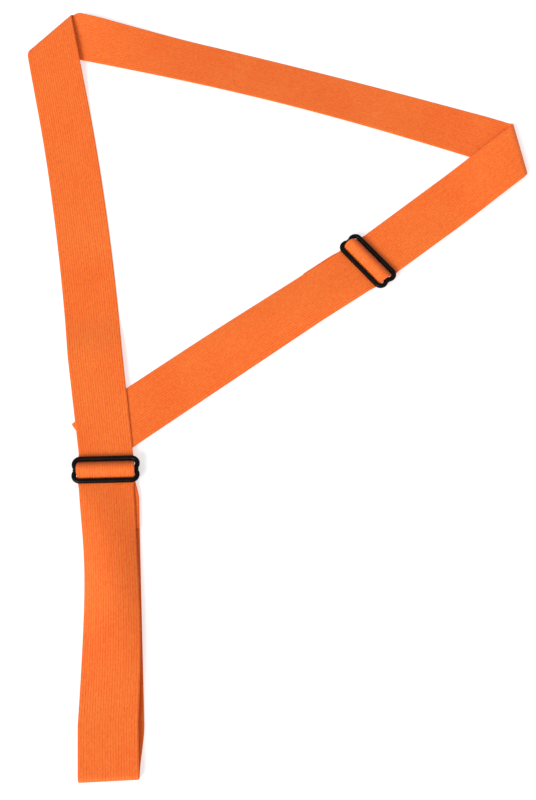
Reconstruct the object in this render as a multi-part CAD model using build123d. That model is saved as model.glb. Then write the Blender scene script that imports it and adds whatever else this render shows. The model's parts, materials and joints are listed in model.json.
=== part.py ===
"""Adjustable carrying strap for a stretcher or board: one flat webbing with a loop at each end.

Each loop is closed by a wire-formed three-bar slide.  The webbing goes under the slide's outer bar,
over its centre bar and under the other outer bar, runs out to the loop end, turns and comes back
underneath, and its cut end is wrapped round the centre bar and sewn down.

The strap lies flat on a surface.  +Y runs up the long left run, +X is across it and +Z is up.
All sizes are in millimetres and all headings in degrees, anticlockwise from +X.
"""
from build123d import *
from math import asin, atan2, cos, degrees, pi, radians, sin, tan
import os

# Webbing
web_width = 50.0
web_thickness = 1.5
neck_in = 1.7                 # each edge draws in by this much where the webbing is bent over a bar

# Three-bar slide, bent from round rod
rod_diameter = 4.4
bar_spacing = 10.2            # outer bar to centre bar, centre to centre
slide_overhang = 5.2          # each end of the slide past the webbing's edge

# Clearances
bar_gap = 0.2                 # webbing to a bar that it slides round
wrap_gap = 0.1                # sewn wrap to the centre bar
layer_gap = 0.1               # between webbing layers that slide on each other
crossing_gap = 0.3            # between two parts of the strap that only cross

# Sewn tab at the webbing's cut end
tab_length = 45.0
stitch_length = 3.0
stitch_width = 0.8
stitch_height = 0.35
stitch_pitch = 4.0
stitch_margin = 5.0           # seam to the edges of the tab
knee_clear = 3.0              # seam to the knee of the tab, where it leaves the bar
wrap_climb = 25.0             # steepness of the bottom layer where it climbs to the bar
sewn_gap = 0.05               # between the sewn layers, and from a stitch to the surface below
wrap_share = 0.98             # corner radius of the wrap, which is cut in straight lines, to the bar's

# How far the webbing node in each slide, and the tab's back layer, reach from the centre bar
weave_reach = 16.0
tab_reach = 62.0

# Left run: from the left slide to the left fold
left_lean = 7.6               # heading at the slide, past straight up
left_straight = 155.0
left_bend_radius = 3000.0
left_bend_angle = 4.5
left_upper_straight = 66.2
left_feed_length = 110.0      # straight stretch beside the slide, measured from its centre bar
right_feed_length = 135.0
ramp_length = 40.0            # over which the webbing comes down to the surface

# Folds and top run
fold_margin = 5.0             # straight webbing kept square next to a fold
high_share = 0.8              # share of the fold's height already reached there
low_share = 0.3               # share of that height reached one ramp before it
fold_steps = 10               # straight strips that a rolled fold is made of
bend_steps = 4
fold_radius = 5.0             # middle of the webbing, in the rolled folds
left_fold_skew = 4.1          # fold axis off the line that a pressed fold would take
left_fold_advance = 14.0      # how far the webbing moves along the fold axis as it rolls over
right_fold_skew = -2.0
right_fold_advance = 12.0
top_heading = -16.2
top_length = 465.0
top_bow = 4.0                 # the top run's middle stands off its chord by this much
top_lift = 8.0                # and its inner edge is off the surface by this much
top_shares = (0.15, 0.35, 0.5, 0.65, 0.85)   # where along it the bow is followed

# Loops
left_slide_heading = 91.5     # from the left slide towards the main span, square to its bars
left_loop_heading = -87.1
left_loop_length = 265.0      # centre bar to the outside of the loop end
left_loop_gap = 4.6           # open height inside the loop end
left_loop_leg = 45.0
right_slide_heading = 41.0
right_loop_heading = 215.5
right_loop_length = 313.0
right_loop_gap = 1.0          # this end is tucked under the left run and pressed nearly flat
right_loop_leg = 72.0
tuck_along = 22.4             # middle of the right loop end from the left slide: up the strap
tuck_aside = 17.8             # and out to the left

slide_length = web_width + 2 * slide_overhang

# Heights, all to the middle of the webbing
floor_level = web_thickness / 2
bar_radius = rod_diameter / 2
under_bar_radius = bar_radius + bar_gap + web_thickness / 2
wrap_radius = bar_radius + wrap_gap + web_thickness / 2
over_wrap_radius = wrap_radius + web_thickness + bar_gap
sewn_level = floor_level + web_thickness + sewn_gap
front_level = sewn_level + web_thickness + stitch_height + layer_gap
slide_level = front_level + under_bar_radius
right_tuck_height = 2 * web_thickness + right_loop_gap
left_slide_lift = right_tuck_height + crossing_gap + web_thickness / 2 - front_level
right_slide_lift = stitch_height + sewn_gap
fold_top_level = floor_level + 2 * fold_radius
neck_width = web_width - 2 * neck_in

UP = Vector(0, 0, 1)


def along(heading, distance=1.0):
    """A step of the given length on the surface."""
    return Vector(distance * cos(radians(heading)), distance * sin(radians(heading)), 0)


def section(centre, across, length=web_width, up=UP):
    """Cross-section of the webbing: a thin rectangle that lies along across."""
    side = across.normalized()
    travel = side.cross(up)
    return Plane(origin=centre, x_dir=side, z_dir=travel) * Rectangle(length, web_thickness)


def webbing(sections):
    """Webbing with straight lines across it, from one cross-section to the next."""
    return loft(sections, ruled=True)


def threaded(corners, radii, skew):
    """Webbing in a slide: bent along the bars through (along, up) corners, its edges at a skew."""
    path = Plane.YZ * FilletPolyline(*corners, radius=radii)
    start = Plane(origin=path @ 0, x_dir=(1, 0, 0), z_dir=path % 0)
    wide = sweep(start * Rectangle(2 * web_width, web_thickness), path)
    return wide & Rot(0, 0, skew) * Box(neck_width, 4 * tab_reach, 4 * bar_spacing)


# The slide, in its own frame: bars along X, main span towards +Y, loop towards -Y


def slide_frame():
    """Two outer bars joined at each end by two round lobes that meet at the centre bar."""
    lobe_radius = bar_spacing / 2
    lobe_centre = slide_length / 2 - bar_radius - lobe_radius
    bar = Line((-lobe_centre, bar_spacing), (lobe_centre, bar_spacing))
    lobe_tip = lobe_centre + lobe_radius
    lobe_out = ThreePointArc((lobe_centre, bar_spacing), (lobe_tip, lobe_radius), (lobe_centre, 0))
    lobe_in = ThreePointArc((-lobe_centre, 0), (-lobe_tip, lobe_radius), (-lobe_centre, bar_spacing))
    path = Wire([lobe_in.edge(), bar.edge(), lobe_out.edge()])
    rod = sweep(Plane(origin=path @ 0, z_dir=path % 0) * Circle(bar_radius), path)
    half = rod & Pos(0, bar_spacing, 0) * Box(2 * slide_length, 2 * bar_spacing, 2 * rod_diameter)
    whole = half + mirror(half, about=Plane.XZ)
    return whole - slide_bar()


def slide_bar():
    """Straight centre bar, welded between the lobes."""
    length = slide_length - 2 * bar_radius - bar_spacing
    return Rot(0, 90, 0) * Cylinder(bar_radius, length)


def crossing_slope():
    """Steepness of the webbing between the centre bar and an outer bar."""
    return asin((over_wrap_radius + under_bar_radius) / bar_spacing)


def slide_weave(skew):
    """Webbing under one outer bar, over the wrapped centre bar and under the other outer bar."""
    slope = crossing_slope()
    crest = over_wrap_radius / cos(slope)
    foot = (crest + under_bar_radius) / tan(slope)
    corners = [
        (weave_reach, -under_bar_radius),
        (foot, -under_bar_radius),
        (0, crest),
        (-foot, -under_bar_radius),
        (-weave_reach, -under_bar_radius),
    ]
    return threaded(corners, [under_bar_radius, over_wrap_radius, under_bar_radius], skew)


def tab_corners():
    """Side view of the sewn end: in along the bottom, round the centre bar, back on top of itself."""
    slope = crossing_slope()
    climb = radians(wrap_climb)
    back = floor_level - slide_level
    sewn = sewn_level - slide_level
    foot = (wrap_radius / cos(climb) + back) / tan(climb)
    knee = (sewn * cos(slope) - wrap_radius) / sin(slope)
    return [
        (-tab_reach, back),
        (foot, back),
        (wrap_radius, back + (wrap_radius - foot) * tan(climb)),
        (wrap_radius, wrap_radius * (1 + sin(slope)) / cos(slope)),
        (knee, sewn),
        (knee - tab_length, sewn),
    ]


def sewn_tab(skew):
    """The webbing's cut end, wrapped round the centre bar."""
    wrap = wrap_share * wrap_radius
    knee = under_bar_radius + web_thickness + stitch_height + layer_gap
    return threaded(tab_corners(), [2 * wrap_radius, wrap, wrap, knee], skew)


def stitching(skew):
    """A sewn box of single stitches, which show on the tab's top and on the bottom layer."""
    half_width = neck_width / 2 - stitch_margin
    tab_end = tab_corners()[-1][0] + stitch_margin
    tab_start = tab_corners()[4][0] - stitch_margin - knee_clear
    across_count = int(2 * half_width / stitch_pitch)
    along_count = int((tab_start - tab_end) / stitch_pitch)
    across_pitch = 2 * half_width / across_count
    along_pitch = (tab_start - tab_end) / along_count
    top = sewn_level + web_thickness / 2 + stitch_height / 2 - slide_level
    bottom = floor_level - web_thickness / 2 - stitch_height / 2 - slide_level
    stitches = []
    for level in (top, bottom):
        for row in (tab_start, tab_end):
            for i in range(across_count):
                place = Pos(-half_width + (i + 0.5) * across_pitch, row, level)
                stitches.append(place * Box(stitch_length, stitch_width, stitch_height))
        for row in (-half_width, half_width):
            for i in range(along_count):
                place = Pos(row, tab_end + (i + 0.5) * along_pitch, level)
                stitches.append(place * Box(stitch_width, stitch_length, stitch_height))
    return Rot(0, 0, skew) * Compound(children=stitches)


def loop_turn(gap, leg):
    """The loop end in its own frame: the turn at the origin and both legs along +Y."""
    rise = web_thickness + gap
    round_radius = rise / 2
    outside = round_radius + web_thickness / 2
    top_level = floor_level + rise
    middle = floor_level + round_radius
    top = Line((leg, top_level), (outside, top_level))
    turn = ThreePointArc((outside, top_level), (web_thickness / 2, middle), (outside, floor_level))
    bottom = Line((outside, floor_level), (leg, floor_level))
    path = Plane.YZ * Wire([top.edge(), turn.edge(), bottom.edge()])
    start = Plane(origin=path @ 0, x_dir=(1, 0, 0), z_dir=path % 0)
    return sweep(start * Rectangle(web_width, web_thickness), path)


def slide_frame_plane(centre, heading, lift):
    """Where a slide lies: bars across, main span towards +Y."""
    return Plane(origin=centre + UP * (slide_level + lift), x_dir=along(heading - 90), z_dir=UP)


def slide_skew(heading, loop_heading):
    """How far the strap's line is turned from square to the bars."""
    return (loop_heading - heading) % 360 - 180


def adjuster(name, centre, heading, lift, loop_heading, loop_length, gap, leg):
    """All the pieces of one adjustable loop."""
    slide = slide_frame_plane(centre, heading, lift)
    skew = slide_skew(heading, loop_heading)
    parts = {
        name + "_slide_frame": slide * slide_frame(),
        name + "_slide_centre_bar": slide * slide_bar(),
        name + "_threaded_webbing": slide * slide_weave(skew),
        name + "_sewn_tab": slide * sewn_tab(skew),
        name + "_tab_stitching": slide * stitching(skew),
    }
    end = centre + along(loop_heading, loop_length)
    loop = Plane(origin=end, x_dir=along(loop_heading + 90), z_dir=UP)
    parts[name + "_loop_end"] = loop * loop_turn(gap, leg)
    slanting = 1 / cos(radians(skew))
    across_slide = along(heading - 90)
    across_loop = along(loop_heading + 90)
    front_start = centre + along(loop_heading, weave_reach * slanting) + UP * (front_level + lift)
    back_start = centre + along(loop_heading, tab_reach * slanting) + UP * (floor_level + lift)
    neck = neck_width * slanting
    turn_level = floor_level + web_thickness + gap
    leg_start = end - along(loop_heading, leg)
    past_tab = centre + along(loop_heading, tab_reach)
    parts[name + "_loop_front"] = webbing([
        section(front_start, across_slide, neck),
        section(past_tab + UP * (front_level + lift), across_loop),
        section(leg_start + UP * turn_level, across_loop),
    ])
    parts[name + "_loop_back"] = webbing([
        section(back_start, across_slide, neck),
        section(leg_start + UP * floor_level, across_loop),
    ])
    return parts


# Where everything lies, walked from the left slide up the left run, over the top and down to the tuck

left_slide = Vector(0, 0, 0)
left_run_heading = 90 + left_lean
upper_heading = left_run_heading + left_bend_angle
tucked_end = left_slide + Vector(-tuck_aside, tuck_along, 0)
right_slide = tucked_end + along(right_loop_heading - 180, right_loop_length)
bend_start = left_slide + along(left_run_heading, left_straight)


def bend_point(share):
    """Middle of the left run at a share of its gentle bend, and its heading there."""
    turned = left_bend_angle * share
    chord = 2 * left_bend_radius * sin(radians(turned) / 2)
    return bend_start + along(left_run_heading + turned / 2, chord), left_run_heading + turned


bend_end = bend_point(1)[0]
left_fold_in = bend_end + along(upper_heading, left_upper_straight)
left_fold_axis = (upper_heading + top_heading) / 2 + left_fold_skew
left_fold_out = left_fold_in + along(left_fold_axis, left_fold_advance)
right_fold_in = left_fold_out + along(top_heading, top_length)


def heading_between(a, b):
    return degrees(atan2(b.Y - a.Y, b.X - a.X))


def right_fold_out():
    """Where the webbing leaves the right fold, which also sets how the fold's axis lies."""
    heading = heading_between(right_fold_in, right_slide) + 360
    axis = (top_heading + heading) / 2 + right_fold_skew
    return right_fold_in + along(axis + 180, right_fold_advance), axis


right_fold_end, right_fold_axis = right_fold_out()
right_run_heading = heading_between(right_slide, right_fold_end)


def cut_length(heading, axis):
    """Length of a slanting line across the webbing."""
    return web_width / abs(sin(radians(heading - axis)))


def rolled_fold(start, end, axis, start_length, end_length, outward, start_on_top):
    """Webbing rolled half a turn about a level axis while it moves along that axis."""
    across = along(axis)
    middle = floor_level + fold_radius
    sections = []
    for i in range(fold_steps + 1):
        share = i / fold_steps
        turn = pi * share
        height = fold_radius * cos(turn) * (1 if start_on_top else -1)
        out = fold_radius * sin(turn)
        centre = start + (end - start) * share + along(outward, out) + UP * (middle + height)
        normal = along(outward, out / fold_radius) + UP * (height / fold_radius)
        length = start_length + (end_length - start_length) * share
        sections.append(section(centre, across, length, normal))
    return webbing(sections)


def left_run():
    """Up from the right loop's end, down to the surface, round the bend and up into the fold."""
    square = along(left_run_heading - 90)
    ramp_up = left_slide + along(left_run_heading, left_feed_length)
    ramp_down = left_slide + along(left_run_heading, left_feed_length + ramp_length)
    lifted = front_level + left_slide_lift
    sections = [
        section(ramp_up + UP * lifted, square),
        section(ramp_down + UP * floor_level, square),
    ]
    for i in range(bend_steps + 1):
        point, heading = bend_point(i / bend_steps)
        sections.append(section(point + UP * floor_level, along(heading - 90)))
    half_cut = web_width / 2 / tan(radians(upper_heading - left_fold_axis))
    low = left_fold_in - along(upper_heading, half_cut + ramp_length)
    high = left_fold_in - along(upper_heading, half_cut + fold_margin)
    square = along(upper_heading - 90)
    near_top = fold_top_level * high_share
    sections.append(section(low + UP * (floor_level + near_top * low_share), square))
    sections.append(section(high + UP * near_top, square))
    cut = cut_length(upper_heading, left_fold_axis)
    sections.append(section(left_fold_in + UP * fold_top_level, along(left_fold_axis), cut))
    return webbing(sections)


def top_run():
    """Between the folds: a slight bow, with the inner edge off the surface in the middle."""
    chord = right_fold_in - left_fold_out
    first_cut = cut_length(top_heading, left_fold_axis)
    last_cut = cut_length(top_heading, right_fold_axis)
    sections = [section(left_fold_out + UP * floor_level, along(left_fold_axis), first_cut)]
    for share in top_shares:
        swell = sin(pi * share)
        lift = top_lift * swell
        tilt = asin(lift / web_width)
        across = along(top_heading + 90, cos(tilt)) - UP * sin(tilt)
        middle = left_fold_out + chord * share + along(top_heading + 90, top_bow * swell)
        raised = web_thickness / 2 * cos(tilt) + lift / 2
        normal = UP * cos(tilt) + along(top_heading + 90, sin(tilt))
        sections.append(section(middle + UP * raised, -across, web_width, normal))
    sections.append(section(right_fold_in + UP * floor_level, along(right_fold_axis + 180), last_cut))
    return webbing(sections)


def right_run():
    """Down from the right fold to the stretch beside the right slide."""
    half_cut = web_width / 2 / abs(tan(radians(right_run_heading - right_fold_axis)))
    square = along(right_run_heading - 90)
    high = right_fold_end - along(right_run_heading, half_cut + fold_margin)
    feed_end = right_slide + along(right_run_heading, right_feed_length)
    return webbing([
        section(feed_end + UP * (front_level + right_slide_lift), square),
        section(high + UP * fold_top_level * high_share, square),
        section(
            right_fold_end + UP * fold_top_level,
            along(right_fold_axis + 180),
            cut_length(right_run_heading, right_fold_axis),
        ),
    ])


def feed(centre, slide_heading, loop_heading, run_heading, length, lift):
    """The straight stretch beside a slide, which gets longer or shorter as the slide moves."""
    level = UP * (front_level + lift)
    slanting = 1 / cos(radians(slide_skew(slide_heading, loop_heading)))
    start = centre - along(loop_heading, weave_reach * slanting)
    return webbing([
        section(start + level, along(slide_heading - 90), neck_width * slanting),
        section(centre + along(run_heading, length) + level, along(run_heading - 90)),
    ])


def main_span():
    """The webbing between the two slides, in the lengths that its folds and slides divide it into."""
    left_cut = cut_length(upper_heading, left_fold_axis)
    top_left_cut = cut_length(top_heading, left_fold_axis)
    top_right_cut = cut_length(top_heading, right_fold_axis)
    right_cut = cut_length(right_run_heading, right_fold_axis)
    return {
        "left_feed": feed(
            left_slide, left_slide_heading, left_loop_heading,
            left_run_heading, left_feed_length, left_slide_lift,
        ),
        "span_left_run": left_run(),
        "span_left_fold": rolled_fold(
            left_fold_in, left_fold_out, left_fold_axis,
            left_cut, top_left_cut, left_fold_axis + 90, True,
        ),
        "span_top_run": top_run(),
        "span_right_fold": rolled_fold(
            right_fold_in, right_fold_end, right_fold_axis + 180,
            top_right_cut, right_cut, right_fold_axis - 90, False,
        ),
        "span_right_run": right_run(),
        "right_feed": feed(
            right_slide, right_slide_heading, right_loop_heading,
            right_run_heading, right_feed_length, right_slide_lift,
        ),
    }


def strap():
    """Every node, with the origin under the middle of the laid-out strap."""
    parts = main_span()
    parts.update(adjuster(
        "left", left_slide, left_slide_heading, left_slide_lift,
        left_loop_heading, left_loop_length, left_loop_gap, left_loop_leg,
    ))
    parts.update(adjuster(
        "right", right_slide, right_slide_heading, right_slide_lift,
        right_loop_heading, right_loop_length, right_loop_gap, right_loop_leg,
    ))
    boxes = [shape.bounding_box() for shape in parts.values()]
    middle_x = (min(box.min.X for box in boxes) + max(box.max.X for box in boxes)) / 2
    middle_y = (min(box.min.Y for box in boxes) + max(box.max.Y for box in boxes)) / 2
    shift = Pos(-middle_x, -middle_y, -min(box.min.Z for box in boxes))
    return {name: shift * shape for name, shape in parts.items()}, shift


nodes, moved = strap()
os.makedirs("parts", exist_ok=True)
for name, shape in nodes.items():
    export_step(shape, "parts/" + name + ".step")
    size = shape.bounding_box().size
    print(name, "%.1f x %.1f x %.1f" % (size.X, size.Y, size.Z), "volume %.0f" % shape.volume)
print("left slide at", moved.position + left_slide, "right slide at", moved.position + right_slide)
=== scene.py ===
"""Adjustable carrying strap, laid flat: one orange webbing, with a loop and a black slide at each end.

The sections follow the strap as it is put together: the webbing between the slides, the two slides,
the webbing threaded through them, the sewn ends, the stitching and the two loops.
Lengths are in metres and headings in degrees, anticlockwise from +X.
"""
import json
import math
import bpy
import numpy as np
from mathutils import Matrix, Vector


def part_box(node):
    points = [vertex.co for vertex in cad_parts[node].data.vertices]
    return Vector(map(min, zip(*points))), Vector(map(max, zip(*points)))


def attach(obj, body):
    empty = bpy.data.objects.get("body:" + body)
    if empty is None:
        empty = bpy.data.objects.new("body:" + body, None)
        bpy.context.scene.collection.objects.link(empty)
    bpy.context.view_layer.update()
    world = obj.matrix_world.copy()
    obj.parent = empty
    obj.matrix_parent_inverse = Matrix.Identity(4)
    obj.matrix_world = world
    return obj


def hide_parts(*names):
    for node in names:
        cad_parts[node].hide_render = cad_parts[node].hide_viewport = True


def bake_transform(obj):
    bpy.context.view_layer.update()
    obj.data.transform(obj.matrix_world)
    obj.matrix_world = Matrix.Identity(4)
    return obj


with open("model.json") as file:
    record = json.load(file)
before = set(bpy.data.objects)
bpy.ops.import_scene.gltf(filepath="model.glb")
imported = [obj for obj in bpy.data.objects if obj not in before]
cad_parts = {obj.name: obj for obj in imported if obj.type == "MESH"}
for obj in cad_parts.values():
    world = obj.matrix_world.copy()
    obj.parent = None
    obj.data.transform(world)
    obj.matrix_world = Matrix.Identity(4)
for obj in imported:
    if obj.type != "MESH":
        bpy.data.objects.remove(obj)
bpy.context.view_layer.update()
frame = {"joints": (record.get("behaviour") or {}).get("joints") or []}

# ---------------------------------------------------------------------------------------------
# Main span: 50 mm polyester webbing, woven with lengthwise ribs and a rounded selvedge on each
# side. It runs up from the left slide, bends a little, turns over in a soft rolled fold, runs
# across the top in a slight bow, turns over again and comes down to the right slide.
# ---------------------------------------------------------------------------------------------
web_width = 0.050
web_thickness = 0.0015
rib_count = 22
rib_depth = 0.00016
row_pitch = 0.003
floor_level = web_thickness / 2
fold_radius = 0.005
fold_top = floor_level + 2 * fold_radius

left_run_start_heading = 97.6
left_straight = 0.155
left_bend_length = 0.2356
left_bend_angle = 4.5
left_run_length = 0.4568
left_feed_length = 0.110
left_ramp_length = 0.045
left_fold_skew = 4.1
left_fold_advance = 0.014
left_fold_rise = 0.100
top_heading = -16.2
top_length = 0.465
top_bow = 0.004
top_lift = 0.008
right_fold_skew = -2.0
right_fold_advance = 0.012
right_fold_rise = 0.075
right_feed_length = 0.135
outer_lift = 0.0075
outer_lift_reach = 0.3
fold_margin = 0.005
weave_reach = 0.016
neck_in = 0.0009
bar_radius = 0.0022
bar_spacing = 0.0102
bar_clear = 0.0002
under_bar_radius = bar_radius + bar_clear + web_thickness / 2
square_reach = 0.12


def direction(heading):
    """Unit step on the surface at a heading, as (cosine, sine, 0)."""
    turn = math.radians(heading)
    return np.array([math.cos(turn), math.sin(turn), 0.0])


def heading_of(step):
    """Heading of a step on the surface."""
    return math.degrees(math.atan2(step[1], step[0]))


def rise_over(share):
    """Smooth rise from 0 to 1: three times the share squared less twice its cube."""
    share = np.clip(share, 0, 1)
    return share * share * (3 - 2 * share)


def rib_section():
    """Half section of the webbing: places across it, from -1 to 1, and half its thickness there.

    Between the selvedges the half thickness loses rib_depth in each groove and follows a sine hump
    over each rib; a selvedge is a quarter round, its place and height the sine and cosine of one angle.
    """
    steps = 4
    rib_roundness = 0.7
    selvedge = web_thickness / web_width
    flat = np.linspace(selvedge - 1, 1 - selvedge, rib_count * steps + 1)
    hump = np.abs(np.sin(np.pi * np.arange(flat.size) / steps)) ** rib_roundness
    flat_height = web_thickness / 2 - rib_depth * (1 - hump)
    turn = np.radians([30, 60, 90])
    edge = 1 - selvedge + selvedge * np.sin(turn)
    edge_height = (web_thickness / 2 - rib_depth) * np.cos(turn)
    across = np.concatenate([-edge[::-1], flat, edge])
    return across, np.concatenate([edge_height[::-1], flat_height, edge_height])


across_places, half_heights = rib_section()


def between(start, end, spacing=row_pitch):
    """Lines across the webbing that go evenly from one (middle, side) line to another."""
    rows = max(2, int(np.linalg.norm(end[0] - start[0]) / spacing) + 1)
    share = np.linspace(0, 1, rows)[:, None]
    return start[0] + (end[0] - start[0]) * share, start[1] + (end[1] - start[1]) * share


def surface(lines, height=None):
    """Grid of points over lines across the webbing: middle plus side times the place across.

    side reaches from the middle to the right selvedge. height gives each point's level from its place.
    """
    middle, side = lines
    grid = middle[:, None, :] + side[:, None, :] * across_places[None, :, None]
    if height is not None:
        grid[..., 2] = height(grid)
    return grid


def webbing(name, grid, material):
    """Closed webbing over a grid: each point moves along the normal by the half thickness, up and down.

    The normal is the step across times the step along. The two skins share their selvedge points.
    A strip of faces closes each end, with a row of points close beside it to keep the end crisp.
    The UV map is in metres: u across the webbing and v the distance along each lengthwise yarn, so
    that the weave follows the yarns through bends and folds.
    """
    close_share = 0.02
    near_first = grid[:1] + (grid[1:2] - grid[:1]) * close_share
    near_last = grid[-1:] + (grid[-2:-1] - grid[-1:]) * close_share
    grid = np.concatenate([grid[:1], near_first, grid[1:-1], near_last, grid[-1:]])
    rows, columns = grid.shape[:2]
    normal = np.cross(np.gradient(grid, axis=1), np.gradient(grid, axis=0))
    normal /= np.linalg.norm(normal, axis=2, keepdims=True)
    offset = normal * half_heights[None, :, None]
    offset[:, [0, -1]] = 0
    top = np.arange(rows * columns).reshape(rows, columns)
    bottom = top.copy()
    bottom[:, 1:-1] = rows * columns + np.arange(rows * (columns - 2)).reshape(rows, columns - 2)
    points = np.concatenate([(grid + offset).reshape(-1, 3), (grid - offset)[:, 1:-1].reshape(-1, 3)])

    def quads(skin):
        loop = [skin[:-1, :-1], skin[:-1, 1:], skin[1:, 1:], skin[1:, :-1]]
        return np.stack(loop, axis=-1).reshape(-1, 4)

    def end_strip(row):
        return np.stack([top[row, :-1], top[row, 1:], bottom[row, 1:], bottom[row, :-1]], axis=-1)

    caps = np.concatenate([end_strip(0)[:, ::-1], end_strip(-1)])
    joined = (caps[:, 0] == caps[:, 3]) | (caps[:, 1] == caps[:, 2])
    faces = np.concatenate([quads(top), quads(bottom)[:, ::-1], caps[~joined]])
    triangles = [list(dict.fromkeys(face)) for face in caps[joined].tolist()]
    mesh = bpy.data.meshes.new(name)
    mesh.from_pydata(points.tolist(), [], faces.tolist() + triangles)
    smooth = np.ones(len(mesh.polygons), bool)
    smooth[-len(caps):] = False
    mesh.polygons.foreach_set("use_smooth", smooth)

    steps = np.linalg.norm(np.diff(grid, axis=0), axis=2)
    travelled = np.concatenate([np.zeros((1, columns)), np.cumsum(steps, axis=0)])
    u = np.broadcast_to(across_places * web_width / 2, travelled.shape)
    flat = np.stack([u, travelled], axis=-1)
    flat = np.concatenate([flat.reshape(-1, 2), flat[:, 1:-1].reshape(-1, 2)])
    corner_points = np.empty(len(mesh.loops), np.int32)
    mesh.loops.foreach_get("vertex_index", corner_points)
    mesh.uv_layers.new(name="weave").data.foreach_set("uv", flat[corner_points].ravel())
    mesh.materials.append(material)
    piece = bpy.data.objects.new(name, mesh)
    bpy.context.scene.collection.objects.link(piece)
    return piece


def weave_group():
    """Woven ribs as a height and masks: yarns side by side, each crossed by picks, as rounded humps.

    A yarn's hump is the sine of its place across. The picks press it down once every pick pitch, and
    half a pitch later on every other yarn. The groove mask, painted shade in the weave's hollows,
    is the deeper of two: between the yarns, and between ribs of two yarns, where short beads each have
    their own random strength. Shade, a tone that varies at random, adds up slow noise, lengthwise
    streaks and a speckle for each crossing.
    """
    group = bpy.data.node_groups.new("webbing_weave", "ShaderNodeTree")
    for name in ("Across", "Along"):
        group.interface.new_socket(name, in_out="INPUT", socket_type="NodeSocketFloat")
    group.interface.new_socket("Place", in_out="INPUT", socket_type="NodeSocketVector")
    for name in ("Height", "Groove Shade", "Shade"):
        group.interface.new_socket(name, in_out="OUTPUT", socket_type="NodeSocketFloat")
    nodes, links = group.nodes, group.links
    inputs = nodes.new("NodeGroupInput")
    outputs = nodes.new("NodeGroupOutput")

    def math_node(operation, *values):
        node = nodes.new("ShaderNodeMath")
        node.operation = operation
        for socket, value in zip(node.inputs, values):
            if isinstance(value, (int, float)):
                socket.default_value = value
            else:
                links.new(value, socket)
        return node.outputs[0]

    def humps(value, per_unit=1.0):
        """Rounded humps, per_unit of them in each unit: the sine of the turn, without its sign."""
        return math_node("ABSOLUTE", math_node("SINE", math_node("MULTIPLY", value, per_unit * math.pi)))

    yarn_pitch = (web_width - web_thickness) / rib_count / 2
    pick_pitch = 0.0015
    bead_length = 0.0021
    streaks_across, streaks_along = 900, 25
    roundness, press_depth = 0.6, 0.6
    yarn_gap_sharpness, yarn_gap_depth = 1.6, 0.55
    rib_gap_sharpness, least_bead, bead_range = 1.2, 0.5, 0.4
    patches_per_metre, patch_detail = 14, 3
    across, along = inputs.outputs["Across"], inputs.outputs["Along"]
    yarn = math_node("DIVIDE", across, yarn_pitch)
    odd = math_node("PINGPONG", math_node("FLOOR", yarn), 1)
    hump = humps(yarn)
    pick = math_node("ADD", math_node("DIVIDE", along, pick_pitch), math_node("MULTIPLY", odd, 0.5))
    press = math_node("MULTIPLY", math_node("POWER", humps(pick), roundness), press_depth)
    raised = math_node("ADD", press, 1 - press_depth)
    height = math_node("MULTIPLY", math_node("POWER", hump, roundness), raised)
    links.new(height, outputs.inputs["Height"])
    # Groove mask: painted shade, a deeper colour in the hollows between the yarns and between the ribs.
    yarn_gap = math_node("POWER", math_node("SUBTRACT", 1, height), yarn_gap_sharpness)
    between_yarns = math_node("MULTIPLY", yarn_gap, yarn_gap_depth)
    rib = humps(yarn, 0.5)
    bead_place = nodes.new("ShaderNodeCombineXYZ")
    links.new(math_node("ROUND", math_node("DIVIDE", yarn, 2)), bead_place.inputs["X"])
    links.new(math_node("FLOOR", math_node("DIVIDE", along, bead_length)), bead_place.inputs["Y"])
    bead = nodes.new("ShaderNodeTexWhiteNoise")
    bead.noise_dimensions = "2D"
    links.new(bead_place.outputs[0], bead.inputs["Vector"])
    strength = math_node("ADD", math_node("MULTIPLY", bead.outputs["Value"], bead_range), least_bead)
    rib_gap = math_node("POWER", math_node("SUBTRACT", 1, rib), rib_gap_sharpness)
    between_ribs = math_node("MULTIPLY", rib_gap, strength)
    links.new(math_node("MAXIMUM", between_yarns, between_ribs), outputs.inputs["Groove Shade"])
    noise = nodes.new("ShaderNodeTexNoise")
    noise.inputs["Scale"].default_value = patches_per_metre
    noise.inputs["Detail"].default_value = patch_detail
    links.new(inputs.outputs["Place"], noise.inputs["Vector"])
    streak_place = nodes.new("ShaderNodeCombineXYZ")
    links.new(math_node("MULTIPLY", across, streaks_across), streak_place.inputs["X"])
    links.new(math_node("MULTIPLY", along, streaks_along), streak_place.inputs["Y"])
    streak = nodes.new("ShaderNodeTexNoise")
    streak.inputs["Scale"].default_value = 1
    links.new(streak_place.outputs[0], streak.inputs["Vector"])
    speckle_place = nodes.new("ShaderNodeCombineXYZ")
    links.new(math_node("FLOOR", yarn), speckle_place.inputs["X"])
    links.new(math_node("FLOOR", pick), speckle_place.inputs["Y"])
    speckle = nodes.new("ShaderNodeTexWhiteNoise")
    speckle.noise_dimensions = "2D"
    links.new(speckle_place.outputs[0], speckle.inputs["Vector"])
    slow_share, streak_share, speckle_share = 0.45, 0.3, 0.25
    slow = math_node("MULTIPLY", noise.outputs["Fac"], slow_share)
    slow = math_node("ADD", slow, math_node("MULTIPLY", streak.outputs["Fac"], streak_share))
    speckled = math_node("MULTIPLY", speckle.outputs["Value"], speckle_share)
    links.new(math_node("ADD", slow, speckled), outputs.inputs["Shade"])
    return group


weave = weave_group()
deep_orange = (0.90, 0.152, 0.017, 1)
bright_orange = (0.96, 0.245, 0.040, 1)
# Deeper red painted as shade into the hollows of the weave.
groove_shade_red = (0.78, 0.066, 0.006, 1)


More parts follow.
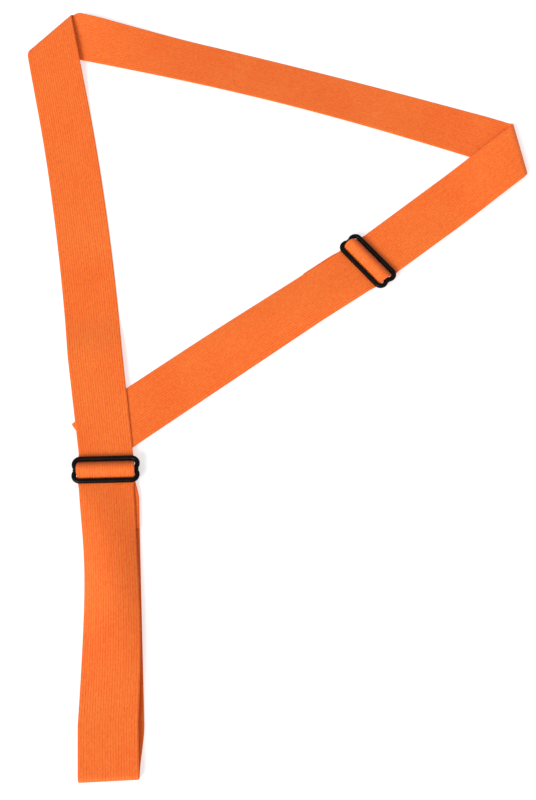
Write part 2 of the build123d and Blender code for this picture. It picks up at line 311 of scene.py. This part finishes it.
def webbing_material(name, heading=None):
    """Orange polyester webbing: soft sheen, a deeper red painted as shade between the yarns, slight
    streaks.

    The weave runs on the UV map, or, in a stretch that gets longer and shorter, along a heading in
    Object coordinates, so that the picks keep their spacing.
    """
    material = bpy.data.materials.new(name)
    material.use_nodes = True
    nodes, links = material.node_tree.nodes, material.node_tree.links
    shader = nodes["Principled BSDF"]
    uv = nodes.new("ShaderNodeUVMap")
    uv.uv_map = "weave"
    parts = nodes.new("ShaderNodeSeparateXYZ")
    links.new(uv.outputs["UV"], parts.inputs[0])
    coordinates = nodes.new("ShaderNodeTexCoord")
    group = nodes.new("ShaderNodeGroup")
    group.node_tree = weave
    links.new(parts.outputs["X"], group.inputs["Across"])
    links.new(coordinates.outputs["Object"], group.inputs["Place"])
    if heading is None:
        links.new(parts.outputs["Y"], group.inputs["Along"])
    else:
        along = nodes.new("ShaderNodeVectorMath")
        along.operation = "DOT_PRODUCT"
        along.inputs[1].default_value = direction(heading)
        links.new(coordinates.outputs["Object"], along.inputs[0])
        links.new(along.outputs["Value"], group.inputs["Along"])
    shades = nodes.new("ShaderNodeValToRGB")
    shades.color_ramp.elements[0].position = 0.3
    shades.color_ramp.elements[0].color = deep_orange
    shades.color_ramp.elements[1].position = 0.7
    shades.color_ramp.elements[1].color = bright_orange
    links.new(group.outputs["Shade"], shades.inputs["Fac"])
    # Painted shade: the groove mask mixes the deeper red into the weave's hollows.
    paint_groove_shade = nodes.new("ShaderNodeMix")
    paint_groove_shade.data_type = "RGBA"
    paint_groove_shade.inputs["B"].default_value = groove_shade_red
    links.new(group.outputs["Groove Shade"], paint_groove_shade.inputs["Factor"])
    links.new(shades.outputs["Color"], paint_groove_shade.inputs["A"])
    links.new(paint_groove_shade.outputs["Result"], shader.inputs["Base Color"])
    bump = nodes.new("ShaderNodeBump")
    bump.inputs["Strength"].default_value = 0.6
    bump.inputs["Distance"].default_value = 0.0003
    links.new(group.outputs["Height"], bump.inputs["Height"])
    links.new(bump.outputs["Normal"], shader.inputs["Normal"])
    shader.inputs["Roughness"].default_value = 0.72
    shader.inputs["Specular IOR Level"].default_value = 0.25
    shader.inputs["Sheen Weight"].default_value = 0.12
    shader.inputs["Sheen Roughness"].default_value = 0.4
    return material


span_material = webbing_material("orange_webbing")
joint_axes = {joint["name"]: np.array(joint["axis"], float) for joint in frame["joints"]}
slide_centre = {}
strap_line = {}
web_level = {}
for side in ("left", "right"):
    low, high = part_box(side + "_slide_centre_bar")
    slide_centre[side] = np.array(low + high) / 2
    strap_line[side] = -joint_axes[side + "_slide"]
    web_level[side] = slide_centre[side][2] - under_bar_radius
slide_heading = {"left": 91.5, "right": 41.0}
flat_centre = {side: centre * (1, 1, 0) for side, centre in slide_centre.items()}


def slide_line(side, distance, half_width):
    """The line across the webbing at a distance from the slide's centre bar, parallel to its bars."""
    slant = math.cos(math.radians(heading_of(strap_line[side]) - slide_heading[side]))
    across = direction(slide_heading[side] - 90)
    return flat_centre[side] + strap_line[side] * distance / slant, across * half_width / slant


def square_line(middle, heading):
    """The line square across the webbing, from its middle to its right-hand selvedge."""
    return middle, direction(heading - 90) * web_width / 2


def left_run_lines():
    """Square lines up the left run: each step goes along the heading, which turns evenly over the bend."""
    count = int(left_run_length / row_pitch)

    def headings(travelled):
        bent = np.clip((travelled - left_straight) / left_bend_length, 0, 1)
        return left_run_start_heading + left_bend_angle * bent

    step_middles = (np.arange(count) + 0.5) * left_run_length / count
    steps = np.array([direction(angle) for angle in headings(step_middles)]) * left_run_length / count
    middle = flat_centre["left"] + np.concatenate([np.zeros((1, 3)), np.cumsum(steps, axis=0)])
    distance = np.linspace(0, left_run_length, count + 1)
    side = np.array([direction(angle - 90) for angle in headings(distance)]) * web_width / 2
    return distance, middle, side


def half_cut(heading, axis):
    """Half the length of a slanting line across the webbing, and how far its end is past its middle."""
    turn = math.radians(heading - axis)
    return web_width / 2 / abs(math.sin(turn)), web_width / 2 / abs(math.tan(turn))


def rolled(start, end, axis, outward, rows=24):
    """Half a turn about a level axis: height and outward reach are the cosine and sine of the turn.

    start and end are (middle, half length, 1 at the top or -1 at the bottom).
    """
    share = np.linspace(0, 1, rows + 1)[:, None]
    turn = np.pi * share
    middle = start[0] + (end[0] - start[0]) * share + outward * fold_radius * np.sin(turn)
    middle[:, 2:] = floor_level + fold_radius * (1 + start[2] * np.cos(turn))
    side = axis * (start[1] + (end[1] - start[1]) * share)
    return middle, side


distance, run_middle, run_side = left_run_lines()
upper_heading = left_run_start_heading + left_bend_angle
left_fold_in = run_middle[-1]
left_fold_heading = (upper_heading + top_heading) / 2 + left_fold_skew
left_axis = direction(left_fold_heading)
left_out = direction(left_fold_heading + 90)
left_fold_end = left_fold_in + left_axis * left_fold_advance
right_fold_in = left_fold_end + direction(top_heading) * top_length
down_heading = heading_of(flat_centre["right"] - right_fold_in)
right_fold_heading = (top_heading + down_heading + 360) / 2 + right_fold_skew
right_axis = direction(right_fold_heading)
right_out = direction(right_fold_heading - 90)
right_fold_end = right_fold_in - right_axis * right_fold_advance
right_run_heading = heading_of(right_fold_end - flat_centre["right"])

left_cut, left_past = half_cut(upper_heading, left_fold_heading)
top_left_cut, _ = half_cut(top_heading, left_fold_heading)
top_right_cut, _ = half_cut(top_heading, right_fold_heading)
right_cut, right_past = half_cut(right_run_heading, right_fold_heading)


def left_level(points):
    """Down from beside the slide to the surface, then up to the fold as its axis gets nearer."""
    beyond = (points - flat_centre["left"]) @ direction(left_run_start_heading)
    ramp = 1 - rise_over((beyond - left_feed_length) / left_ramp_length)
    to_fold = (left_fold_in - points) @ left_out
    climb = 1 - rise_over(to_fold / left_fold_rise)
    return floor_level + (web_level["left"] - floor_level) * ramp + (fold_top - floor_level) * climb


def right_level(points):
    """From the fold's top down to the level beside the slide, as the distance to the fold's axis grows."""
    to_fold = (right_fold_end - points) @ right_out
    climb = 1 - rise_over(to_fold / right_fold_rise)
    return web_level["right"] + (fold_top - web_level["right"]) * climb


def top_run_lines():
    """Across the top: a sine bow off the chord, the inner selvedge lifted by a sine of its own.

    Near both folds the lines turn from square to the fold's axis.
    """
    share = np.linspace(0, 1, int(top_length / row_pitch))[:, None]
    swell = np.sin(np.pi * share)
    outer = direction(top_heading + 90)
    tilt = np.arcsin(top_lift * swell / web_width)
    middle = left_fold_end + (right_fold_in - left_fold_end) * share + outer * top_bow * swell
    middle[:, 2:] = floor_level + top_lift * swell / 2
    square = (outer * np.cos(tilt) - np.array([0, 0, 1]) * np.sin(tilt)) * web_width / 2
    to_left = 1 - rise_over(share / square_reach)
    to_right = 1 - rise_over((1 - share) / square_reach)
    side = square * (1 - to_left - to_right)
    side = side + left_axis * top_left_cut * to_left + right_axis * top_right_cut * to_right
    return middle, side


def outer_corner_up(grid, share):
    """Raise the webbing beside the left fold, where the roll is loose: outer_lift times each row's share
    at the outer selvedge, going down evenly to nothing at the inner one."""
    grid[..., 2] += outer_lift * share[:, None] * (1 + across_places) / 2
    return grid


before_fold = distance < left_run_length - left_past - fold_margin
beside_slide = distance < left_feed_length
run = before_fold & ~beside_slide
run_lines = (run_middle[run], run_side[run])
fold_line = (left_fold_in, left_axis * left_cut)
right_up = direction(right_run_heading)
right_back = right_run_heading + 180
right_square = square_line(right_fold_end - right_up * (right_past + fold_margin), right_back)
right_feed_line = square_line(flat_centre["right"] + right_up * right_feed_length, right_back)
roll = rolled((left_fold_in, left_cut, 1), (left_fold_end, top_left_cut, -1), left_axis, left_out)
left_roll = surface(roll)
left_roll = outer_corner_up(left_roll, rise_over(2 * np.linspace(0, 1, len(left_roll)) - 1))
top_run = surface(top_run_lines())
top_run = outer_corner_up(top_run, 1 - rise_over(np.linspace(0, 1, len(top_run)) / outer_lift_reach))[1:-1]
span_grid = np.concatenate([
    surface(run_lines, left_level),
    surface(between((run_lines[0][-1], run_lines[1][-1]), fold_line), left_level)[1:-1],
    left_roll,
    top_run,
    surface(rolled(
        (right_fold_in, top_right_cut, -1), (right_fold_end, right_cut, 1), right_axis, right_out
    )),
    surface(between((right_fold_end, right_axis * right_cut), right_square), right_level)[1:],
    surface(between(right_square, right_feed_line), right_level)[1:],
])
span = webbing("main_span_webbing", span_grid, span_material)
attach(span, "main_span")
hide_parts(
    "span_left_run", "span_left_fold", "span_top_run", "span_right_fold", "span_right_run"
)

# ---------------------------------------------------------------------------------------------
# Feeds: the straight stretches of the same webbing beside each slide, which get longer or
# shorter as the slide is moved along the strap.
# ---------------------------------------------------------------------------------------------
neck = web_width / 2 - neck_in
left_feed_line = (run_lines[0][0], run_lines[1][0])
left_feed_lines = between(slide_line("left", weave_reach, neck), left_feed_line)
right_near = slide_line("right", weave_reach, neck)
right_feed_lines = between(right_feed_line, (right_near[0], -right_near[1]))
feeds = {
    "left": (left_feed_lines, left_level, left_run_start_heading),
    "right": (right_feed_lines, right_level, right_run_heading),
}
for side, (lines, level, heading) in feeds.items():
    material = webbing_material("orange_webbing_" + side + "_feed", heading)
    feed = webbing(side + "_feed_webbing", surface(lines, level), material)
    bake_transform(feed)
    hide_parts(side + "_feed")

# ---------------------------------------------------------------------------------------------
# Slides: bent from 4.4 mm round steel rod and finished in satin black. Two outer bars end in
# round lobes that come together at the straight centre bar, where they are welded.
# ---------------------------------------------------------------------------------------------
slide_overhang = 0.0052
slide_half_length = web_width / 2 + slide_overhang
rod_corners = 20
arc_slack = 1e-6
weld_bead = (0.0030, 0.0013, 0.0019)
weld_inset = 0.0035
bar_overlap = 0.001
frame_overlap = 0.002
bar_proud = 0.00006


def rounded_path(corners, radii, step=0.002, arc_step=0.2):
    """Points along straight runs joined by tangent arcs.

    An arc starts and ends at its radius times the tangent of half the turn from its corner, and
    swings about a centre one radius off the first run.
    """
    def straight(start, end):
        count = max(2, int(np.linalg.norm(end - start) / step) + 1)
        return np.linspace(start, end, count)[1:]

    corners = [np.array(corner, float) for corner in corners]
    points = [corners[0]]
    for before, corner, after, radius in zip(corners, corners[1:], corners[2:], radii):
        arriving = (corner - before) / np.linalg.norm(corner - before)
        leaving = (after - corner) / np.linalg.norm(after - corner)
        turn = math.atan2(arriving[0] * leaving[1] - arriving[1] * leaving[0], arriving @ leaving)
        start = corner - arriving * radius * math.tan(abs(turn) / 2)
        points.extend(straight(points[-1], start))
        inward = np.array([-arriving[1], arriving[0]]) * math.copysign(1, turn)
        angles = np.linspace(0, abs(turn), max(2, int(abs(turn) / arc_step) + 2))[1:, None]
        points.extend(start + inward * radius * (1 - np.cos(angles)) + arriving * radius * np.sin(angles))
    points.extend(straight(points[-1], corners[-1]))
    return np.array(points)


def tube(path, radius, up):
    """Round rod along a path that lies square to up: a circle of the radius in up and the path's normal."""
    travel = np.gradient(path, axis=0)
    travel /= np.linalg.norm(travel, axis=1, keepdims=True)
    normal = np.cross(up, travel)
    turn = np.linspace(0, 2 * np.pi, rod_corners, endpoint=False)
    ring = normal[:, None] * np.cos(turn)[None, :, None] + up * np.sin(turn)[None, :, None]
    points = path[:, None] + ring * radius
    rows = len(path)
    index = np.arange(rows * rod_corners).reshape(rows, rod_corners)
    following = np.roll(index, -1, axis=1)
    faces = np.stack([index[:-1], following[:-1], following[1:], index[1:]], axis=-1).reshape(-1, 4)
    ends = [index[0, ::-1].tolist(), index[-1].tolist()]
    return points.reshape(-1, 3), faces.tolist() + ends


def solid_piece(name, shells, material):
    """One smooth-shaded piece from closed shells, each (points, faces)."""
    points = []
    faces = []
    for shell_points, shell_faces in shells:
        faces.extend([[corner + len(points) for corner in face] for face in shell_faces])
        points.extend(shell_points.tolist())
    mesh = bpy.data.meshes.new(name)
    mesh.from_pydata(points, [], faces)
    mesh.shade_smooth()
    mesh.materials.append(material)
    piece = bpy.data.objects.new(name, mesh)
    bpy.context.scene.collection.objects.link(piece)
    return piece


def ball(centre, axes, rings=10, corners=16):
    """Ellipsoid: the latitude's cosine times the circle of longitudes, and the latitude's sine."""
    latitude = np.linspace(-np.pi / 2, np.pi / 2, rings + 1)[1:-1, None]
    longitude = np.linspace(0, 2 * np.pi, corners, endpoint=False)[None]
    circle = np.cos(latitude)
    shape = [circle * np.cos(longitude), circle * np.sin(longitude), np.sin(latitude)]
    shape = np.stack(np.broadcast_arrays(*shape), axis=-1)
    points = np.concatenate([shape.reshape(-1, 3), [[0, 0, -1], [0, 0, 1]]])
    index = np.arange((rings - 1) * corners).reshape(rings - 1, corners)
    following = np.roll(index, -1, axis=1)
    faces = np.stack([index[:-1], following[:-1], following[1:], index[1:]], axis=-1)
    faces = faces.reshape(-1, 4).tolist()
    south, north = (rings - 1) * corners, (rings - 1) * corners + 1
    faces += [[following[0, i], index[0, i], south] for i in range(corners)]
    faces += [[index[-1, i], following[-1, i], north] for i in range(corners)]
    return centre + points @ np.array(axes), faces


def black_metal():
    """Satin black finish on steel: fine orange-peel, and a slightly duller, greyer film in patches."""
    material = bpy.data.materials.new("satin_black_steel")
    material.use_nodes = True
    nodes, links = material.node_tree.nodes, material.node_tree.links
    shader = nodes["Principled BSDF"]
    coordinates = nodes.new("ShaderNodeTexCoord")
    patches = nodes.new("ShaderNodeTexNoise")
    patches.inputs["Scale"].default_value = 180
    patches.inputs["Detail"].default_value = 4
    links.new(coordinates.outputs["Object"], patches.inputs["Vector"])
    colours = nodes.new("ShaderNodeValToRGB")
    colours.color_ramp.elements[0].position = 0.35
    colours.color_ramp.elements[0].color = (0.0012, 0.0011, 0.0013, 1)
    colours.color_ramp.elements[1].position = 0.7
    colours.color_ramp.elements[1].color = (0.0035, 0.0032, 0.0036, 1)
    links.new(patches.outputs["Fac"], colours.inputs["Fac"])
    links.new(colours.outputs["Color"], shader.inputs["Base Color"])
    gloss = nodes.new("ShaderNodeMapRange")
    gloss.inputs["To Min"].default_value = 0.26
    gloss.inputs["To Max"].default_value = 0.42
    links.new(patches.outputs["Fac"], gloss.inputs["Value"])
    links.new(gloss.outputs["Result"], shader.inputs["Roughness"])
    peel = nodes.new("ShaderNodeTexNoise")
    peel.inputs["Scale"].default_value = 2200
    links.new(coordinates.outputs["Object"], peel.inputs["Vector"])
    bump = nodes.new("ShaderNodeBump")
    bump.inputs["Strength"].default_value = 0.12
    bump.inputs["Distance"].default_value = 0.00005
    links.new(peel.outputs["Fac"], bump.inputs["Height"])
    links.new(bump.outputs["Normal"], shader.inputs["Normal"])
    shader.inputs["Specular IOR Level"].default_value = 0.11
    return material


slide_finish = black_metal()
up = np.array([0.0, 0.0, 1.0])
lobe_radius = bar_spacing / 2
lobe_middle = slide_half_length - bar_radius - lobe_radius
lobe_reach = lobe_middle + lobe_radius
half_frame = rounded_path(
    [(0, 0), (lobe_reach, 0), (lobe_reach, bar_spacing),
     (-lobe_reach, bar_spacing), (-lobe_reach, 0), (0, 0)],
    [lobe_radius - arc_slack] * 4, step=0.004, arc_step=0.14,
)
off_centre_bar = np.abs(half_frame[:, 0]) + half_frame[:, 1] > lobe_middle - frame_overlap
half_frame = half_frame[off_centre_bar]
weld_reach = lobe_middle + weld_inset
for side in ("left", "right"):
    along_bars = direction(slide_heading[side] - 90)
    along_strap = direction(slide_heading[side])
    centre = slide_centre[side]
    frames = []
    for flip in (1, -1):
        path = centre + half_frame[:, :1] * along_bars * flip + half_frame[:, 1:] * along_strap * flip
        frames.append(tube(path, bar_radius, up))
    bead_axes = [along_bars * weld_bead[0], along_strap * weld_bead[1], up * weld_bead[2]]
    beads = [ball(centre + along_bars * weld_reach * end, bead_axes) for end in (-1, 1)]
    outer = solid_piece(side + "_slide_rod", frames + beads, slide_finish)
    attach(outer, side + "_adjuster")
    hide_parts(side + "_slide_frame")
    bar_path = np.linspace(-lobe_middle - bar_overlap, lobe_middle + bar_overlap, 9)[:, None]
    bar_tube = tube(centre + bar_path * along_bars, bar_radius + bar_proud, up)
    bar = solid_piece(side + "_slide_middle_bar", [bar_tube], slide_finish)
    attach(bar, side + "_adjuster")
    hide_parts(side + "_slide_centre_bar")

# ---------------------------------------------------------------------------------------------
# Threaded webbing: under one outer bar, over the sewn wrap on the centre bar and under the other
# outer bar, so that friction holds it where it is pulled to. It is pressed a little wider over
# the bars and draws in on both sides of the slide.
# ---------------------------------------------------------------------------------------------
spread = 0.0007
wrap_clear = 0.0001
wrap_radius = bar_radius + wrap_clear + web_thickness / 2
over_wrap_radius = wrap_radius + web_thickness + bar_clear
slope = math.asin((over_wrap_radius + under_bar_radius) / bar_spacing)
crest = over_wrap_radius / math.cos(slope)
foot = (crest + under_bar_radius) / math.tan(slope)
weave_path = rounded_path(
    [(weave_reach, -under_bar_radius), (foot, -under_bar_radius), (0, crest),
     (-foot, -under_bar_radius), (-weave_reach, -under_bar_radius)],
    [under_bar_radius, over_wrap_radius, under_bar_radius], step=0.001,
)[::-1]


def slide_grid(side, path, half_width):
    """Webbing along a side view (distance along the strap, height) at a slide: lines parallel to its bars.

    half_width gives half the width of each line.
    """
    lines = [slide_line(side, distance, half) for (distance, _), half in zip(path, half_width)]
    middle = np.array([line[0] for line in lines])
    middle[:, 2] = slide_centre[side][2] + path[:, 1]
    return surface((middle, np.array([line[1] for line in lines])))


weave_widths = web_width / 2 + spread - (neck_in + spread) * (weave_path[:, 0] / weave_reach) ** 2
for side in ("left", "right"):
    threaded = webbing(side + "_threaded", slide_grid(side, weave_path, weave_widths), span_material)
    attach(threaded, side + "_adjuster")
    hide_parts(side + "_threaded_webbing")

# ---------------------------------------------------------------------------------------------
# Sewn ends: the webbing's cut end comes in along the bottom, wraps the centre bar and is sewn
# down on top of itself, where the loop hides it.
# ---------------------------------------------------------------------------------------------
sewn_gap = 0.00005
sewn_level = floor_level + web_thickness + sewn_gap
level_over_tab = 0.00425
tab_lift = {side: level - level_over_tab for side, level in web_level.items()}
tab_length = 0.045
tab_reach = 0.062
wrap_climb = math.radians(25)
back_drift = {"left": 0.0046, "right": -0.0022}
drift_reach = 0.028
wrap_turn = 0.98 * wrap_radius
knee_gap = 0.00045
knee_radius = under_bar_radius + web_thickness + knee_gap


def tab_corners(side):
    """Side view of a sewn end about the centre bar: in along the bottom, round the bar and back on top."""
    bottom = floor_level + tab_lift[side] - slide_centre[side][2]
    sewn = sewn_level + tab_lift[side] - slide_centre[side][2]
    toe = (wrap_radius / math.cos(wrap_climb) + bottom) / math.tan(wrap_climb)
    knee = (sewn * math.cos(slope) - wrap_radius) / math.sin(slope)
    return [
        (-tab_reach, bottom),
        (toe, bottom),
        (wrap_radius, bottom + (wrap_radius - toe) * math.tan(wrap_climb)),
        (wrap_radius, wrap_radius * (1 + math.sin(slope)) / math.cos(slope)),
        (knee, sewn),
        (knee - tab_length, sewn),
    ]


for side in ("left", "right"):
    path = rounded_path(tab_corners(side), [2 * wrap_radius, wrap_turn, wrap_turn, knee_radius], step=0.002)
    grid = slide_grid(side, path, np.full(len(path), neck))
    beside = np.cross(strap_line[side], up)
    from_bar = -(grid - flat_centre[side]) @ strap_line[side]
    grid += beside * (back_drift[side] * rise_over(from_bar / drift_reach))[..., None]
    tab = webbing(side + "_sewn_end", grid, span_material)
    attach(tab, side + "_adjuster")
    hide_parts(side + "_sewn_tab")

# ---------------------------------------------------------------------------------------------
# Stitching: a box of lock stitches in orange polyester thread through the sewn end, each stitch
# a short rounded length of thread pulled into the webbing at both ends.
# ---------------------------------------------------------------------------------------------
stitch_length = 0.0034
stitch_radius = 0.00038
stitch_pitch = 0.004
stitch_margin = 0.005
knee_clear = 0.003
seam_inset = 0.0012


def thread_material():
    """Twisted polyester thread, a shade deeper than the webbing, with a fine twist along each stitch and
    painted shade in the twist's hollows.
    """
    material = bpy.data.materials.new("orange_thread")
    material.use_nodes = True
    nodes, links = material.node_tree.nodes, material.node_tree.links
    shader = nodes["Principled BSDF"]
    coordinates = nodes.new("ShaderNodeTexCoord")
    twist = nodes.new("ShaderNodeTexWave")
    twist.bands_direction = "DIAGONAL"
    twist.inputs["Scale"].default_value = 700
    links.new(coordinates.outputs["Object"], twist.inputs["Vector"])
    # Painted shade: the colour follows the twist's bump, darker where the twist is low.
    colours = nodes.new("ShaderNodeValToRGB")
    colours.color_ramp.elements[0].color = (0.62, 0.085, 0.012, 1)
    colours.color_ramp.elements[1].color = (0.92, 0.170, 0.025, 1)
    links.new(twist.outputs["Fac"], colours.inputs["Fac"])
    links.new(colours.outputs["Color"], shader.inputs["Base Color"])
    bump = nodes.new("ShaderNodeBump")
    bump.inputs["Distance"].default_value = 0.0001
    links.new(twist.outputs["Fac"], bump.inputs["Height"])
    links.new(bump.outputs["Normal"], shader.inputs["Normal"])
    shader.inputs["Roughness"].default_value = 0.55
    return material


thread_finish = thread_material()
for side in ("left", "right"):
    corners = tab_corners(side)
    half_width = web_width / 2 - seam_inset - stitch_margin
    tab_end = corners[-1][0] + stitch_margin
    tab_start = corners[4][0] - stitch_margin - knee_clear
    top_level = corners[-1][1] + web_thickness / 2
    bottom_level = corners[0][1] - web_thickness / 2
    turned = direction(heading_of(strap_line[side]) - 90)
    stitches = []
    across_count = int(2 * half_width / stitch_pitch)
    along_count = int((tab_start - tab_end) / stitch_pitch)
    across_at = -half_width + (np.arange(across_count) + 0.5) * 2 * half_width / across_count
    along_at = tab_end + (np.arange(along_count) + 0.5) * (tab_start - tab_end) / along_count
    places = [(across, row, turned) for across in across_at for row in (tab_start, tab_end)]
    places += [(row, along, strap_line[side]) for along in along_at for row in (-half_width, half_width)]
    for level in (top_level, bottom_level):
        for across, along, lie in places:
            drifted = across + back_drift[side] * rise_over(-along / drift_reach)
            place = flat_centre[side] + turned * drifted + strap_line[side] * along
            place = place + up * (slide_centre[side][2] + level)
            beside = np.cross(up, lie)
            axes = [lie * stitch_length / 2, beside * stitch_radius, up * stitch_radius]
            stitches.append(ball(place, axes, rings=6, corners=8))
    seam = solid_piece(side + "_box_seam", stitches, thread_finish)
    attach(seam, side + "_adjuster")
    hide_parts(side + "_tab_stitching")

# ---------------------------------------------------------------------------------------------
# Loops: the webbing runs on past each slide as the loop's front, turns at the loop's end and
# comes back underneath to the sewn end. The right loop's end is tucked under the left run.
# ---------------------------------------------------------------------------------------------
loop_length = {"left": 0.265, "right": 0.313}
loop_gap = {"left": 0.0046, "right": 0.0010}
loop_leg = {"left": 0.045, "right": 0.072}
front_bow = {"left": 0.0041, "right": -0.0010}
front_arch = {"left": 0.0075, "right": 0.0035}
end_shift = {"left": 0.0, "right": -0.0016}
arch_start = 0.65


def turned_end(side):
    """The loop's end: a side view along the top leg, round half a turn and back along the bottom leg."""
    rise = web_thickness + loop_gap[side]
    tip = loop_length[side] - web_thickness / 2
    leg = loop_length[side] - loop_leg[side]
    return rounded_path(
        [(leg, floor_level + rise), (tip, floor_level + rise), (tip, floor_level), (leg, floor_level)],
        [rise / 2 - arc_slack] * 2, step=0.003,
    )


def loop_layer(near_line, far_line, sideways, bow, arch):
    """Grid from one line across to another: bowed sideways by a sine, and cupped by a parabola across.

    The cup's height is a sine squared along the layer, its peak drawn towards the slide. The width
    loses 8/3 of the square of height over width, which keeps the distance measured over the cup.
    """
    middle, half = between(near_line, far_line)
    share = np.linspace(0, 1, len(middle))[:, None]
    middle = middle + sideways * bow * np.sin(np.pi * share)
    arched = arch * np.sin(np.pi * share**arch_start) ** 2
    grid = surface((middle, half * (1 - 8 / 3 * (arched / web_width) ** 2)))
    grid[..., 2] += arched * (1 - across_places**2)
    return grid


for side in ("left", "right"):
    out = -strap_line[side]
    across = np.cross(out, up) * web_width / 2
    end_path = turned_end(side)
    beside = -across / np.linalg.norm(across)
    middle = flat_centre[side] + out * end_path[:, :1] + up * end_path[:, 1:] + beside * end_shift[side]
    on_back = np.arange(len(middle)) > len(middle) / 2
    from_tip = (loop_length[side] - end_path[:, 0]) / loop_leg[side]
    middle += beside * ((back_drift[side] - end_shift[side]) * rise_over(from_tip) * on_back)[:, None]
    lines = (middle, np.broadcast_to(across, middle.shape))
    turn_piece = webbing(side + "_loop_turn", surface(lines), span_material)
    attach(turn_piece, side + "_loop")
    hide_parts(side + "_loop_end")
    front_near, back_near = slide_line(side, -weave_reach, neck), slide_line(side, -tab_reach, neck)
    leg_start = flat_centre[side] + out * (loop_length[side] - loop_leg[side])
    drift = beside * back_drift[side]
    layers = {
        "front": (
            (front_near[0] + up * web_level[side], -front_near[1]),
            (leg_start + up * end_path[0, 1] + beside * end_shift[side], across),
            front_bow[side], front_arch[side],
        ),
        "back": (
            (back_near[0] + up * (tab_lift[side] + floor_level) + drift, -back_near[1]),
            (leg_start + up * floor_level + drift, across),
            0, 0,
        ),
    }
    for layer, (near_line, far_line, bow, arch) in layers.items():
        grid = loop_layer(near_line, far_line, beside, bow, arch)
        material = webbing_material("orange_webbing_" + side + "_loop_" + layer, heading_of(out))
        piece = webbing(side + "_loop_" + layer + "_webbing", grid, material)
        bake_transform(piece)
        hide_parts(side + "_loop_" + layer)

# ---------------------------------------------------------------------------------------------
# Studio: a pale floor that gives off a little light, an even white surround, one broad sun-like
# lamp from the lower left, and a camera in front of the strap that looks down at 70 degrees.
# ---------------------------------------------------------------------------------------------
scene = bpy.context.scene
scene.view_settings.view_transform = "Standard"
floor_half = 4.0
floor_mesh = bpy.data.meshes.new("studio_floor")
floor_corners = [(x * floor_half, y * floor_half, 0) for x, y in ((-1, -1), (1, -1), (1, 1), (-1, 1))]
floor_mesh.from_pydata(floor_corners, [], [(0, 1, 2, 3)])
floor = bpy.data.objects.new("studio_floor", floor_mesh)
floor_paint = bpy.data.materials.new("floor_paint")
floor_paint.use_nodes = True
paint = floor_paint.node_tree.nodes["Principled BSDF"].inputs
paint["Base Color"].default_value = (0.60, 0.60, 0.60, 1)
paint["Emission Color"].default_value = (1, 1, 1, 1)
paint["Emission Strength"].default_value = 0.52
paint["Roughness"].default_value = 0.9
floor_mesh.materials.append(floor_paint)
scene.collection.objects.link(floor)

world = bpy.data.worlds.new("white_surround")
world.use_nodes = True
world.node_tree.nodes["Background"].inputs["Color"].default_value = (1, 1, 1, 1)
world.node_tree.nodes["Background"].inputs["Strength"].default_value = 0.58
scene.world = world

key = bpy.data.lights.new("key_lamp", "SUN")
key.energy = 2.7
key.angle = math.radians(30)
key_holder = bpy.data.objects.new("key_lamp", key)
key_lean = math.radians(52)
key_side = math.radians(-38)
key_holder.rotation_euler = (key_lean, 0, key_side)
scene.collection.objects.link(key_holder)

camera_tilt = math.radians(20)
camera_distance = 1.179
aim = np.array([-0.0054, -0.0397, 0.0])
camera = bpy.data.cameras.new("camera")
camera.lens = 58.5
viewer = bpy.data.objects.new("camera", camera)
viewer.location = aim + camera_distance * np.array([0, -math.sin(camera_tilt), math.cos(camera_tilt)])
viewer.rotation_euler = (camera_tilt, 0, 0)
scene.collection.objects.link(viewer)
scene.camera = viewer
